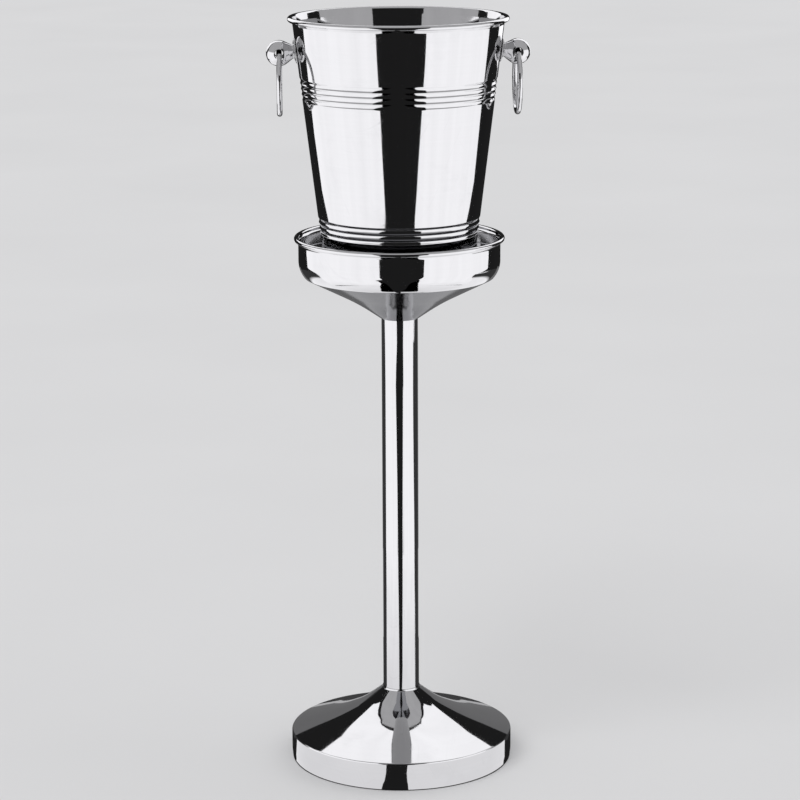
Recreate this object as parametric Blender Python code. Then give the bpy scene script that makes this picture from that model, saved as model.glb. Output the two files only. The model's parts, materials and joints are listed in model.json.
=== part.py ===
"""Ice bucket with two ring handles, standing in the bowl of a tall floor stand. All of its outside is
polished stainless steel, spun or turned, so most pieces are outlines turned about an axis.

The origin is on the floor, on the pole's axis. +Z is up, and the ring handles hang at -X and +X.
Lengths are in metres and angles in degrees. An outline's points are (radius, height).
"""

import math

import bmesh
import bpy
from mathutils import Matrix, Vector

# ---------------------------------------------------------------- driving dimensions

GAP = 0.0003  # left between two pieces that touch
SHEET = 0.0011  # thickness of the spun steel

# Base: an upright band and a flared cone, steeper towards its neck, over a cast weight
BASE_RADIUS = 0.1173
BASE_BAND_BOTTOM = 0.0005
BASE_BAND_TOP = 0.0296
BASE_CORNER_FILLET = 0.0018
BASE_SHOULDER_RADIUS = 0.070
BASE_SHOULDER_HEIGHT = 0.0452
BASE_SHOULDER_FILLET = 0.25
BASE_THROAT_RADIUS = 0.042
BASE_THROAT_HEIGHT = 0.0588
BASE_THROAT_FILLET = 0.12
BASE_NECK_RADIUS = 0.0198
BASE_NECK_HEIGHT = 0.0757
BASE_NECK_FILLET = 0.0022
BASE_NECK_TOP = 0.0771
HEM_HEIGHT = 0.008  # the band's lower edge leans in over this height
HEM_INSET = 0.0009

WEIGHT_BOTTOM = 0.0042
WEIGHT_TOP = 0.024
WEIGHT_EDGE_CHAMFER = 0.003
BOSS_RADIUS = 0.025
BOSS_TOP = 0.056
BOSS_FILLET = 0.008
NUT_POCKET_RADIUS = 0.0135
NUT_POCKET_TOP = 0.0142

PLATE_BOTTOM = 0.0024
PLATE_THICKNESS = 0.0015
PLATE_HOLE_RADIUS = 0.0125

FOOT_OUTER_RADIUS = 0.1125
FOOT_INNER_RADIUS = 0.1045
FOOT_EDGE = 0.0005

PLATE_SCREW_COUNT = 3
PLATE_SCREW_CIRCLE = 0.070
PLATE_SCREW_RADIUS = 0.002
PLATE_SCREW_HEAD_RADIUS = 0.0042
PLATE_SCREW_LENGTH = 0.012

# Pole, with a hub in each end, on one long tie rod
POLE_RADIUS = 0.019
POLE_WALL = 0.0012
POLE_BOTTOM = 0.0603
POLE_TOP = 0.4870
SPIGOT_LENGTH = 0.019
SPIGOT_CLEARANCE = 0.0004
BASE_HUB_RADIUS = 0.0186
BOWL_HUB_THICKNESS = 0.005
BOWL_HUB_EDGE_GAP = 0.0009  # level gap, which is narrower measured square to the cone

ROD_RADIUS = 0.004
ROD_CLEARANCE = 0.0004
ROD_BOTTOM = 0.0045
ROD_END_ABOVE_NUT = 0.003
NUT_FLATS = 0.013
NUT_HEIGHT = 0.0065
WASHER_RADIUS = 0.0085
WASHER_THICKNESS = 0.0016

# Bowl: a flared cone, a crease, a belly that curves up into an upright band, and a rolled rim
BOWL_RIM_RADIUS = 0.109
BOWL_RIM_HEIGHT = 0.5617
BOWL_BEAD = 0.0024
BOWL_BAND_RADIUS = 0.1045
BOWL_BELLY_TOP = 0.5386
BOWL_BELLY_SIZE = 0.026  # radius of the belly's own curve
BOWL_CREASE_ANGLE = -40  # round the belly's curve from its level radius
BOWL_THROAT_RADIUS = 0.045
BOWL_THROAT_HEIGHT = 0.4948
BOWL_THROAT_FILLET = 0.25
BOWL_NECK_RADIUS = 0.02
BOWL_NECK_HEIGHT = 0.4776

PAN_TOP = 0.5457
PAN_SKIRT_BOTTOM = 0.5384
PAN_EDGE_FILLET = 0.002

# Bucket: a tapered wall with two groups of rolled grooves and a rolled rim
BUCKET_BOTTOM = PAN_TOP + GAP
BUCKET_BOTTOM_RADIUS = 0.0789
BUCKET_BOTTOM_FILLET = 0.006
BUCKET_TOP_RADIUS = 0.1084
BUCKET_RIM_RADIUS = 0.1132
BUCKET_RIM_HEIGHT = 0.7873
BUCKET_BEAD = 0.0026
GROOVE_PITCH = 0.0057
GROOVE_DEPTH = 0.0006
UPPER_GROOVES_HEIGHT = 0.7168
UPPER_GROOVE_COUNT = 4
LOWER_GROOVES_HEIGHT = 0.5763
LOWER_GROOVE_COUNT = 3

# Handles: along each handle's axis, 0 is the bucket wall's outer face
HANDLE_HEIGHT = 0.755
ROSE_RADIUS = 0.0126
ROSE_THICKNESS = 0.0023
ROSE_EDGE = 0.0009
ROSE_BEVEL = 0.0005
KNOB_BALL_RADIUS = 0.0132
KNOB_BALL_CENTRE = 0.0173
KNOB_FOOT_RADIUS = 0.0077
KNOB_WAIST_RADIUS = 0.0069
KNOB_SHOULDER_ANGLE = 60
KNOB_THREAD_DEPTH = 0.008
RING_HOLE_RADIUS = 0.0046
RING_RADIUS = 0.0315
RING_ROD_RADIUS = 0.0028
RING_TOP_ABOVE_HOLE_CENTRE = 0.0013

SCREW_RADIUS = 0.0024
SCREW_CLEARANCE = 0.0004
SCREW_HEAD_RADIUS = 0.0046
SCREW_HEAD_HEIGHT = 0.0026
SCREW_CROWN_RADIUS = 0.0032
SCREW_SOCKET_RADIUS = 0.0018
SCREW_SOCKET_DEPTH = 0.0014
GASKET_RADIUS = 0.007
GASKET_THICKNESS = 0.0014
GASKET_STANDOFF = 0.0006  # the wall curves, so a flat gasket touches it at its edge
HANDLE_WASHER_RADIUS = 0.006
HANDLE_WASHER_THICKNESS = 0.001

# Sides of the turned pieces
SHELL_SIDES = 40
HUB_SIDES = 24
SMALL_SIDES = 16
RING_SIDES = 40
RING_ROD_SIDES = 8
BEAD_START = -110
BEAD_END = 160
BEAD_STEPS = 6
POINTS_PER_GROOVE = 3
SHARP_ANGLE = 35

# Looks: base colour, roughness, metallic
POLISHED_STEEL = ((0.80, 0.80, 0.81), 0.06, 1.0)
BRIGHT_STEEL = ((0.62, 0.62, 0.63), 0.28, 1.0)
CAST_IRON = ((0.10, 0.10, 0.11), 0.65, 0.6)
CAST_ALUMINIUM = ((0.70, 0.71, 0.72), 0.38, 1.0)
BLACK_RUBBER = ((0.025, 0.025, 0.027), 0.75, 0.0)
CLEAR_SILICONE = ((0.72, 0.73, 0.72), 0.45, 0.0)


# ---------------------------------------------------------------- lines in the (radius, height) plane


def rounded(corners, steps=3):
    """The line through corners of (radius, height, fillet), with an arc of steps at each fillet."""
    line = []
    for index, (radius, height, fillet) in enumerate(corners):
        corner = Vector((radius, height))
        if not fillet:
            line.append(corner)
            continue
        back = (Vector(corners[index - 1][:2]) - corner).normalized()
        ahead = (Vector(corners[index + 1][:2]) - corner).normalized()
        half_angle = back.angle(ahead) / 2
        centre = corner + (back + ahead).normalized() * fillet / math.sin(half_angle)
        start = (corner + back * fillet / math.tan(half_angle) - centre).normalized()
        end = (corner + ahead * fillet / math.tan(half_angle) - centre).normalized()
        for step in range(steps + 1):
            line.append(centre + start.slerp(end, step / steps) * fillet)
    return line


def arc(radius, height, size, start, end, steps):
    """Points on an arc of radius size about (radius, height), from angle start to angle end."""
    points = []
    for step in range(steps + 1):
        angle = math.radians(start + (end - start) * step / steps)
        points.append(Vector((radius + size * math.cos(angle), height + size * math.sin(angle))))
    return points


def offset(line, distance):
    """The line moved by distance to the left of its own direction."""
    normals = []
    for start, end in zip(line, line[1:]):
        along = (end - start).normalized()
        normals.append(Vector((-along.y, along.x)))
    moved = []
    for index, point in enumerate(line):
        before = normals[max(index - 1, 0)]
        after = normals[min(index, len(normals) - 1)]
        between = (before + after).normalized()
        moved.append(point + between * distance / between.dot(after))
    return moved


# ---------------------------------------------------------------- objects


def clear_scene():
    for item in list(bpy.data.objects):
        bpy.data.objects.remove(item, do_unlink=True)


def principled(name, look):
    colour, roughness, metallic = look
    material = bpy.data.materials.new(name)
    material.use_nodes = True
    shader = material.node_tree.nodes["Principled BSDF"]
    shader.inputs["Base Color"].default_value = (*colour, 1.0)
    shader.inputs["Roughness"].default_value = roughness
    shader.inputs["Metallic"].default_value = metallic
    material.diffuse_color = (*colour, 1.0)
    return material


def add_object(name, shape, look=None, parent=None):
    """A new object from the bmesh shape, smooth except at its sharp edges."""
    bmesh.ops.recalc_face_normals(shape, faces=shape.faces)
    mesh = bpy.data.meshes.new(name)
    shape.to_mesh(mesh)
    shape.free()
    mesh.shade_smooth()
    mesh.set_sharp_from_angle(angle=math.radians(SHARP_ANGLE))
    if look:
        mesh.materials.append(principled(name, look))
    item = bpy.data.objects.new(name, mesh)
    item.parent = parent
    bpy.context.scene.collection.objects.link(item)
    return item


def turn(outline, sides):
    """The closed outline turned about the Z axis, as a bmesh."""
    shape = bmesh.new()
    points = [shape.verts.new((point[0], 0, point[1])) for point in outline]
    edges = []
    for index, point in enumerate(points):
        edges.append(shape.edges.new((points[index - 1], point)))
    bmesh.ops.spin(
        shape,
        geom=points + edges,
        cent=(0, 0, 0),
        axis=(0, 0, 1),
        angle=math.tau,
        steps=sides,
        use_merge=True,
    )
    bmesh.ops.remove_doubles(shape, verts=shape.verts, dist=0.000001)
    return shape


def turned(name, outline, sides, look, parent=None):
    return add_object(name, turn(outline, sides), look, parent)


def hide_cutter(cutter):
    cutter.hide_render = True
    cutter.display_type = "WIRE"


def cut(target, cutter):
    """Take the cutter's shape out of the target."""
    hide_cutter(cutter)
    boolean = target.modifiers.new(cutter.name, "BOOLEAN")
    boolean.operation = "DIFFERENCE"
    boolean.solver = "EXACT"
    boolean.object = cutter


def round_cutter(name, radius, bottom, top, sides, parent=None):
    """A round bar along its own Z axis, to drill a hole with."""
    outline = [(0, bottom), (radius, bottom), (radius, top), (0, top)]
    return turned(name, outline, sides, None, parent)


def flat_ring(name, inner, outer, bottom, top, sides, look, parent=None):
    outline = [(inner, bottom), (outer, bottom), (outer, top), (inner, top)]
    return turned(name, outline, sides, look, parent)


def hex_nut(name, bottom, top, flats, hole, look):
    """A hexagonal nut about the Z axis, with its corners turned off at both ends."""
    corner = flats / math.sqrt(3)
    chamfer = corner - flats / 2
    middle = (bottom + top) / 2
    shape = bmesh.new()
    bmesh.ops.create_cone(
        shape,
        cap_ends=True,
        segments=6,
        radius1=corner,
        radius2=corner,
        depth=top - bottom,
        matrix=Matrix.Translation((0, 0, middle)),
    )
    nut = add_object(name, shape, look)
    round_bar = [
        (0, bottom - GAP),
        (flats / 2, bottom - GAP),
        (corner + GAP, bottom + chamfer),
        (corner + GAP, top - chamfer),
        (flats / 2, top + GAP),
        (0, top + GAP),
    ]
    bar = turned(name + "_corners", round_bar, SMALL_SIDES, None)
    hide_cutter(bar)
    common = nut.modifiers.new("corners", "BOOLEAN")
    common.operation = "INTERSECT"
    common.solver = "EXACT"
    common.object = bar
    cut(nut, round_cutter(name + "_hole", hole, bottom - GAP, top + GAP, SMALL_SIDES))
    return nut


# ---------------------------------------------------------------- base


def base_cover():
    """The spun cone and band, with a neck that sweeps up to the pole."""
    outer = rounded(
        [
            (BASE_RADIUS - HEM_INSET, BASE_BAND_BOTTOM, 0),
            (BASE_RADIUS, BASE_BAND_BOTTOM + HEM_HEIGHT, 0),
            (BASE_RADIUS, BASE_BAND_TOP, BASE_CORNER_FILLET),
            (BASE_SHOULDER_RADIUS, BASE_SHOULDER_HEIGHT, BASE_SHOULDER_FILLET),
            (BASE_THROAT_RADIUS, BASE_THROAT_HEIGHT, BASE_THROAT_FILLET),
            (BASE_NECK_RADIUS, BASE_NECK_HEIGHT, BASE_NECK_FILLET),
            (BASE_NECK_RADIUS, BASE_NECK_TOP, 0),
        ]
    )
    inner = offset(outer, SHEET)
    # The neck thins to a lip, so that it clears the pole
    lip = POLE_RADIUS + GAP
    inner = [point if point.x > lip else Vector((lip, point.y)) for point in inner]
    turned("base_cover", outer + inner[::-1], SHELL_SIDES, POLISHED_STEEL)


def screw_places():
    """Where the base plate's screws go, as (x, y)."""
    for number in range(PLATE_SCREW_COUNT):
        angle = math.tau * (number + 0.25) / PLATE_SCREW_COUNT
        yield PLATE_SCREW_CIRCLE * math.cos(angle), PLATE_SCREW_CIRCLE * math.sin(angle)


def base_weight():
    """The cast disc that keeps the stand upright, with a boss under the pole."""
    rod_hole = ROD_RADIUS + ROD_CLEARANCE
    outer_radius = BASE_RADIUS - SHEET - HEM_INSET - GAP
    outline = rounded(
        [
            (NUT_POCKET_RADIUS, WEIGHT_BOTTOM, 0),
            (outer_radius, WEIGHT_BOTTOM, 0),
            (outer_radius, WEIGHT_TOP - WEIGHT_EDGE_CHAMFER, 0),
            (outer_radius - WEIGHT_EDGE_CHAMFER, WEIGHT_TOP, 0),
            (BOSS_RADIUS, WEIGHT_TOP, BOSS_FILLET),
            (BOSS_RADIUS, BOSS_TOP, 0),
            (rod_hole, BOSS_TOP, 0),
            (rod_hole, NUT_POCKET_TOP, 0),
            (NUT_POCKET_RADIUS, NUT_POCKET_TOP, 0),
        ]
    )
    weight = turned("base_weight", outline, HUB_SIDES, CAST_IRON)
    hole = PLATE_SCREW_RADIUS + SCREW_CLEARANCE
    depth = PLATE_SCREW_LENGTH + 2 * GAP
    for number, (x, y) in enumerate(screw_places(), 1):
        drill = round_cutter(f"weight_drill_{number}", hole, -GAP, depth, SMALL_SIDES)
        drill.location = (x, y, PLATE_BOTTOM)
        cut(weight, drill)


def bottom_plate():
    """The steel disc under the weight, with a socket hole in its middle and three countersinks."""
    outer = BASE_RADIUS - SHEET - HEM_INSET - GAP
    top = PLATE_BOTTOM + PLATE_THICKNESS
    plate = flat_ring("bottom_plate", PLATE_HOLE_RADIUS, outer, PLATE_BOTTOM, top, HUB_SIDES, BRIGHT_STEEL)
    through = 2 * PLATE_THICKNESS
    head = PLATE_SCREW_HEAD_RADIUS + SCREW_CLEARANCE
    shank = PLATE_SCREW_RADIUS + SCREW_CLEARANCE
    countersink = [
        (0, -GAP),
        (head, -GAP),
        (head, 0),
        (shank, head - shank),
        (shank, through),
        (0, through),
    ]
    for number, (x, y) in enumerate(screw_places(), 1):
        drill = turned(f"plate_drill_{number}", countersink, SMALL_SIDES, None)
        drill.location = (x, y, PLATE_BOTTOM)
        cut(plate, drill)


def plate_screws():
    """Countersunk screws up through the plate into the weight."""
    slope = PLATE_SCREW_HEAD_RADIUS - PLATE_SCREW_RADIUS
    outline = [
        (0, 0),
        (PLATE_SCREW_HEAD_RADIUS, 0),
        (PLATE_SCREW_RADIUS, slope),
        (PLATE_SCREW_RADIUS, PLATE_SCREW_LENGTH - PLATE_SCREW_RADIUS / 2),
        (PLATE_SCREW_RADIUS / 2, PLATE_SCREW_LENGTH),
        (0, PLATE_SCREW_LENGTH),
    ]
    for number, (x, y) in enumerate(screw_places(), 1):
        screw = turned(f"plate_screw_{number}", outline, SMALL_SIDES // 2, BRIGHT_STEEL)
        screw.location = (x, y, PLATE_BOTTOM)


def rubber_foot_ring():
    """The ring that the stand rests on, stuck under the plate."""
    top = PLATE_BOTTOM - GAP
    outline = [
        (FOOT_INNER_RADIUS + FOOT_EDGE, 0),
        (FOOT_OUTER_RADIUS - FOOT_EDGE, 0),
        (FOOT_OUTER_RADIUS, FOOT_EDGE),
        (FOOT_OUTER_RADIUS, top),
        (FOOT_INNER_RADIUS, top),
        (FOOT_INNER_RADIUS, FOOT_EDGE),
    ]
    turned("rubber_foot_ring", outline, HUB_SIDES, BLACK_RUBBER)


# ---------------------------------------------------------------- pole


def pole_tube():
    inner = POLE_RADIUS - POLE_WALL
    flat_ring("pole_tube", inner, POLE_RADIUS, POLE_BOTTOM, POLE_TOP, SHELL_SIDES, POLISHED_STEEL)


def base_hub():
    """The plug in the tube's lower end, standing on the weight's boss."""
    hole = ROD_RADIUS + ROD_CLEARANCE
    spigot = POLE_RADIUS - POLE_WALL - SPIGOT_CLEARANCE
    shoulder = POLE_BOTTOM - GAP
    outline = [
        (hole, BOSS_TOP + GAP),
        (BASE_HUB_RADIUS, BOSS_TOP + GAP),
        (BASE_HUB_RADIUS, shoulder),
        (spigot, shoulder),
        (spigot, shoulder + SPIGOT_LENGTH),
        (hole, shoulder + SPIGOT_LENGTH),
    ]
    turned("base_hub", outline, HUB_SIDES, CAST_ALUMINIUM)


def cone_inner_radius(height):
    """The inner radius of the bowl's cone at a height below its throat."""
    rise = BOWL_THROAT_HEIGHT - BOWL_NECK_HEIGHT
    run = BOWL_THROAT_RADIUS - BOWL_NECK_RADIUS
    wall = SHEET * math.hypot(rise, run) / rise
    return BOWL_NECK_RADIUS + (height - BOWL_NECK_HEIGHT) * run / rise - wall


def bowl_hub():
    """The plug in the tube's upper end, whose flange carries the bowl's cone."""
    hole = ROD_RADIUS + ROD_CLEARANCE
    spigot = POLE_RADIUS - POLE_WALL - SPIGOT_CLEARANCE
    flange_bottom = POLE_TOP + GAP
    flange_top = flange_bottom + BOWL_HUB_THICKNESS
    outline = [
        (hole, flange_bottom - SPIGOT_LENGTH),
        (spigot, flange_bottom - SPIGOT_LENGTH),
        (spigot, flange_bottom),
        (cone_inner_radius(flange_bottom) - BOWL_HUB_EDGE_GAP, flange_bottom),
        (cone_inner_radius(flange_top) - BOWL_HUB_EDGE_GAP, flange_top),
        (hole, flange_top),
    ]
    turned("bowl_hub", outline, HUB_SIDES, CAST_ALUMINIUM)


def tie_rod_and_nuts():
    """The long rod from the pocket in the weight to the bowl's hub, with a washer and a nut at each end."""
    hole = ROD_RADIUS + GAP
    washer_top = NUT_POCKET_TOP - GAP
    washer_bottom = washer_top - WASHER_THICKNESS
    flat_ring("bottom_washer", hole, WASHER_RADIUS, washer_bottom, washer_top, SMALL_SIDES, BRIGHT_STEEL)
    nut_top = washer_bottom - GAP
    hex_nut("bottom_nut", nut_top - NUT_HEIGHT, nut_top, NUT_FLATS, hole, BRIGHT_STEEL)

    washer_bottom = POLE_TOP + GAP + BOWL_HUB_THICKNESS + GAP
    washer_top = washer_bottom + WASHER_THICKNESS
    flat_ring("top_washer", hole, WASHER_RADIUS, washer_bottom, washer_top, SMALL_SIDES, BRIGHT_STEEL)
    nut_bottom = washer_top + GAP
    nut_top = nut_bottom + NUT_HEIGHT
    hex_nut("top_nut", nut_bottom, nut_top, NUT_FLATS, hole, BRIGHT_STEEL)

    chamfer = ROD_RADIUS / 4
    rod_top = nut_top + ROD_END_ABOVE_NUT
    outline = [
        (0, ROD_BOTTOM),
        (ROD_RADIUS - chamfer, ROD_BOTTOM),
        (ROD_RADIUS, ROD_BOTTOM + chamfer),
        (ROD_RADIUS, rod_top - chamfer),
        (ROD_RADIUS - chamfer, rod_top),
        (0, rod_top),
    ]
    turned("tie_rod", outline, SMALL_SIDES, BRIGHT_STEEL)


# ---------------------------------------------------------------- bowl


def bowl_shell():
    """The spun bowl: cone, belly, band and rolled rim, open at its neck for the tube."""
    bead_centre = BOWL_RIM_RADIUS - BOWL_BEAD
    belly_centre = BOWL_BAND_RADIUS - BOWL_BELLY_SIZE
    belly = arc(belly_centre, BOWL_BELLY_TOP, BOWL_BELLY_SIZE, BOWL_CREASE_ANGLE, 0, 5)
    cone = rounded(
        [
            (BOWL_NECK_RADIUS, BOWL_NECK_HEIGHT, 0),
            (BOWL_THROAT_RADIUS, BOWL_THROAT_HEIGHT, BOWL_THROAT_FILLET),
            (belly[0].x, belly[0].y, 0),
        ]
    )
    under_bead = Vector((BOWL_BAND_RADIUS, BOWL_RIM_HEIGHT - 2 * BOWL_BEAD))
    outer = cone + belly[1:] + [under_bead]
    inner = offset(outer, SHEET)
    bead = arc(bead_centre, BOWL_RIM_HEIGHT, BOWL_BEAD, BEAD_START, BEAD_END, BEAD_STEPS)
    turned("bowl_shell", outer + bead + inner[::-1], SHELL_SIDES, POLISHED_STEEL)


def seat_pan():
    """The flat floor that the bucket stands on, with a skirt that rests where the bowl's belly starts."""
    skirt = BOWL_BAND_RADIUS - SHEET - GAP
    outer = rounded(
        [(skirt, PAN_SKIRT_BOTTOM, 0), (skirt, PAN_TOP, PAN_EDGE_FILLET), (0, PAN_TOP, 0)]
    )
    inner = offset(outer, SHEET)
    turned("seat_pan", outer + inner[::-1], SHELL_SIDES, BRIGHT_STEEL)


# ---------------------------------------------------------------- bucket


def bucket_radius(height):
    """The outer radius of the bucket's tapered wall at a height."""
    rise = BUCKET_RIM_HEIGHT - BUCKET_BOTTOM
    share = (height - BUCKET_BOTTOM) / rise
    return BUCKET_BOTTOM_RADIUS + (BUCKET_TOP_RADIUS - BUCKET_BOTTOM_RADIUS) * share


def bucket_taper():
    """The angle between the bucket's wall and the vertical."""
    rise = BUCKET_RIM_HEIGHT - BUCKET_BOTTOM
    return math.atan((BUCKET_TOP_RADIUS - BUCKET_BOTTOM_RADIUS) / rise)


def grooves(middle, count):
    """Round-bottomed grooves side by side round the wall, from the lowest crest to the highest."""
    line = []
    lowest = middle - count * GROOVE_PITCH / 2
    for step in range(POINTS_PER_GROOVE * count + 1):
        height = lowest + step * GROOVE_PITCH / POINTS_PER_GROOVE
        depth = 0 if step % POINTS_PER_GROOVE == 0 else GROOVE_DEPTH
        line.append(Vector((bucket_radius(height) - depth, height)))
    return line


def bucket_shell():
    """The bucket, closed below, with grooves rolled into its wall and its rim rolled outwards."""
    bead_centre = BUCKET_RIM_RADIUS - BUCKET_BEAD
    under_bead = BUCKET_RIM_HEIGHT - 2 * BUCKET_BEAD
    foot = rounded(
        [
            (0, BUCKET_BOTTOM, 0),
            (BUCKET_BOTTOM_RADIUS, BUCKET_BOTTOM, BUCKET_BOTTOM_FILLET),
            (bucket_radius(LOWER_GROOVES_HEIGHT), LOWER_GROOVES_HEIGHT, 0),
        ]
    )[:-1]
    wall_top = Vector((bucket_radius(under_bead), under_bead))
    outer = foot + grooves(LOWER_GROOVES_HEIGHT, LOWER_GROOVE_COUNT)
    outer += grooves(UPPER_GROOVES_HEIGHT, UPPER_GROOVE_COUNT) + [wall_top]
    bead = arc(bead_centre, BUCKET_RIM_HEIGHT, BUCKET_BEAD, BEAD_START, BEAD_END, BEAD_STEPS)
    inner = offset(foot + [wall_top], SHEET)
    return turned("bucket_shell", outer + bead + inner[::-1], SHELL_SIDES, POLISHED_STEEL)


# ---------------------------------------------------------------- handles


def handle_mount(side):
    """An empty on the wall, whose Z axis is the handle's axis. Its Y axis stays along the world's."""
    turn_angle = math.radians(90) + bucket_taper()
    mount = bpy.data.objects.new(f"{side}_handle_mount", None)
    sign = 1 if side == "right" else -1
    mount.location = (sign * bucket_radius(HANDLE_HEIGHT), 0, HANDLE_HEIGHT)
    mount.rotation_euler = (0, sign * turn_angle, 0)
    bpy.context.scene.collection.objects.link(mount)
    return mount


def rose(side, mount):
    """The round plate between the wall and the knob."""
    hole = SCREW_RADIUS + SCREW_CLEARANCE
    outline = [
        (hole, GAP),
        (ROSE_RADIUS, GAP),
        (ROSE_RADIUS, ROSE_EDGE),
        (ROSE_RADIUS - ROSE_BEVEL, ROSE_EDGE + ROSE_BEVEL),
        (KNOB_FOOT_RADIUS + GAP, ROSE_THICKNESS),
        (hole, ROSE_THICKNESS),
    ]
    turned(f"{side}_handle_rose", outline, HUB_SIDES, POLISHED_STEEL, mount)


def knob(side, mount):
    """A ball on a tapering neck, drilled across for the ring and tapped from behind for the screw."""
    foot = ROSE_THICKNESS + GAP
    tapped = SCREW_RADIUS + SCREW_CLEARANCE
    waist_height = foot + KNOB_FOOT_RADIUS - KNOB_WAIST_RADIUS
    ball = arc(0, KNOB_BALL_CENTRE, KNOB_BALL_RADIUS, KNOB_SHOULDER_ANGLE - 90, 90, 9)
    outline = [
        (tapped, foot),
        (KNOB_FOOT_RADIUS, foot),
        (KNOB_WAIST_RADIUS, waist_height),
        *ball,
        (0, foot + KNOB_THREAD_DEPTH),
        (tapped, foot + KNOB_THREAD_DEPTH),
    ]
    piece = turned(f"{side}_knob", outline, HUB_SIDES, POLISHED_STEEL, mount)
    reach = KNOB_BALL_RADIUS + GAP
    drill = round_cutter(f"{side}_knob_drill", RING_HOLE_RADIUS, -reach, reach, SMALL_SIDES, mount)
    drill.location = (0, 0, KNOB_BALL_CENTRE)
    drill.rotation_euler = (math.radians(90), 0, 0)
    cut(piece, drill)


def ring_handle(side, mount):
    """The loose ring, whose origin is on its hinge axis: the middle of the hole through the knob."""
    middle = RING_TOP_ABOVE_HOLE_CENTRE - RING_RADIUS
    outline = arc(RING_RADIUS, 0, RING_ROD_RADIUS, 0, 360, RING_ROD_SIDES)[:-1]
    shape = turn(outline, RING_SIDES)
    upright = Matrix.Rotation(math.radians(90), 4, "Y")
    bmesh.ops.transform(shape, matrix=Matrix.Translation((0, 0, middle)) @ upright, verts=shape.verts)
    ring = add_object(f"{side}_ring", shape, POLISHED_STEEL)
    outward = Vector((0, 0, KNOB_BALL_CENTRE))
    outward.rotate(mount.rotation_euler)
    ring.location = mount.location + outward


def handle_fixings(side, mount):
    """Inside the wall: a gasket, a washer and the screw that holds the knob."""
    hole = SCREW_RADIUS + SCREW_CLEARANCE
    gasket_top = -SHEET - GASKET_STANDOFF
    gasket_bottom = gasket_top - GASKET_THICKNESS
    gasket = f"{side}_handle_gasket"
    flat_ring(gasket, hole, GASKET_RADIUS, gasket_bottom, gasket_top, SMALL_SIDES, CLEAR_SILICONE, mount)

    top = gasket_bottom - GAP
    bottom = top - HANDLE_WASHER_THICKNESS
    washer = f"{side}_handle_washer"
    flat_ring(washer, hole, HANDLE_WASHER_RADIUS, bottom, top, SMALL_SIDES, BRIGHT_STEEL, mount)

    seat = bottom - GAP
    tip = ROSE_THICKNESS + KNOB_THREAD_DEPTH - GAP
    crown = seat - SCREW_HEAD_HEIGHT
    outline = [
        (0, crown),
        (SCREW_CROWN_RADIUS, crown),
        (SCREW_HEAD_RADIUS, crown + SCREW_HEAD_HEIGHT / 2),
        (SCREW_HEAD_RADIUS, seat),
        (SCREW_RADIUS, seat),
        (SCREW_RADIUS, tip - SCREW_RADIUS / 2),
        (SCREW_RADIUS / 2, tip),
        (0, tip),
    ]
    screw = turned(f"{side}_handle_screw", outline, SMALL_SIDES, BRIGHT_STEEL, mount)
    socket_top = crown + SCREW_SOCKET_DEPTH
    socket = round_cutter(
        f"{side}_screw_socket", SCREW_SOCKET_RADIUS, crown - GAP, socket_top, 6, mount
    )
    cut(screw, socket)


def handle(side, shell):
    mount = handle_mount(side)
    rose(side, mount)
    knob(side, mount)
    ring_handle(side, mount)
    handle_fixings(side, mount)
    drill_radius = SCREW_RADIUS + SCREW_CLEARANCE
    reach = 2 * SHEET
    cut(shell, round_cutter(f"{side}_wall_drill", drill_radius, -reach, reach, SMALL_SIDES, mount))


def main():
    clear_scene()
    base_cover()
    base_weight()
    bottom_plate()
    plate_screws()
    rubber_foot_ring()
    pole_tube()
    base_hub()
    bowl_hub()
    tie_rod_and_nuts()
    bowl_shell()
    seat_pan()
    shell = bucket_shell()
    for side in ("left", "right"):
        handle(side, shell)


main()
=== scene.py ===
"""The looks of the ice bucket on its floor stand: fine spun and turned surfaces and polished metal, set
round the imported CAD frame, on a pale floor in a soft studio.

Lengths are in metres and angles in degrees. An outline's points are (radius, height).
"""

import json
import math

import bmesh
import bpy
from mathutils import Matrix, Quaternion, Vector


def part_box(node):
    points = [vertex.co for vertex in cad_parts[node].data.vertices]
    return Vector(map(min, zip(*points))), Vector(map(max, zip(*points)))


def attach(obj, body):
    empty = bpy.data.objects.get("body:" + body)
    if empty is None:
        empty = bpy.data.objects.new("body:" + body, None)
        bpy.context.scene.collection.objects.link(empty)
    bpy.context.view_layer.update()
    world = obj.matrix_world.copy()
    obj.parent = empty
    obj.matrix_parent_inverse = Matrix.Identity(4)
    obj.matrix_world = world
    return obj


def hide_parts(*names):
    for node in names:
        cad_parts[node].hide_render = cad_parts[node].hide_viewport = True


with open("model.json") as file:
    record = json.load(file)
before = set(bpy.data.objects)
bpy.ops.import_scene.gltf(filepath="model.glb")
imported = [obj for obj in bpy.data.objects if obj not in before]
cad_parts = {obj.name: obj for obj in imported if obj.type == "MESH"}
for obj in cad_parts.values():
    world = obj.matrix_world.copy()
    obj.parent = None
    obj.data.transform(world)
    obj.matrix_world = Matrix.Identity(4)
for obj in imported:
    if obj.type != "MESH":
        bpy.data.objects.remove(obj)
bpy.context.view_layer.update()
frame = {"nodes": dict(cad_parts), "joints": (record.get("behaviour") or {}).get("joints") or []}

# ---------------------------------------------------------------- sizes

SHEET = 0.0011
GAP = 0.0003  # left between two pieces that touch
SHELL_SIDES = 192
HUB_SIDES = 96
SMALL_SIDES = 48
SHARP_ANGLE = 40
LONG_SIDE = 0.003  # an outline's sides longer than this are held flat
HOLD_MARGIN = 0.0004
EDGE_ROUND = 0.00025  # the broken edge of a small turned part

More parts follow.
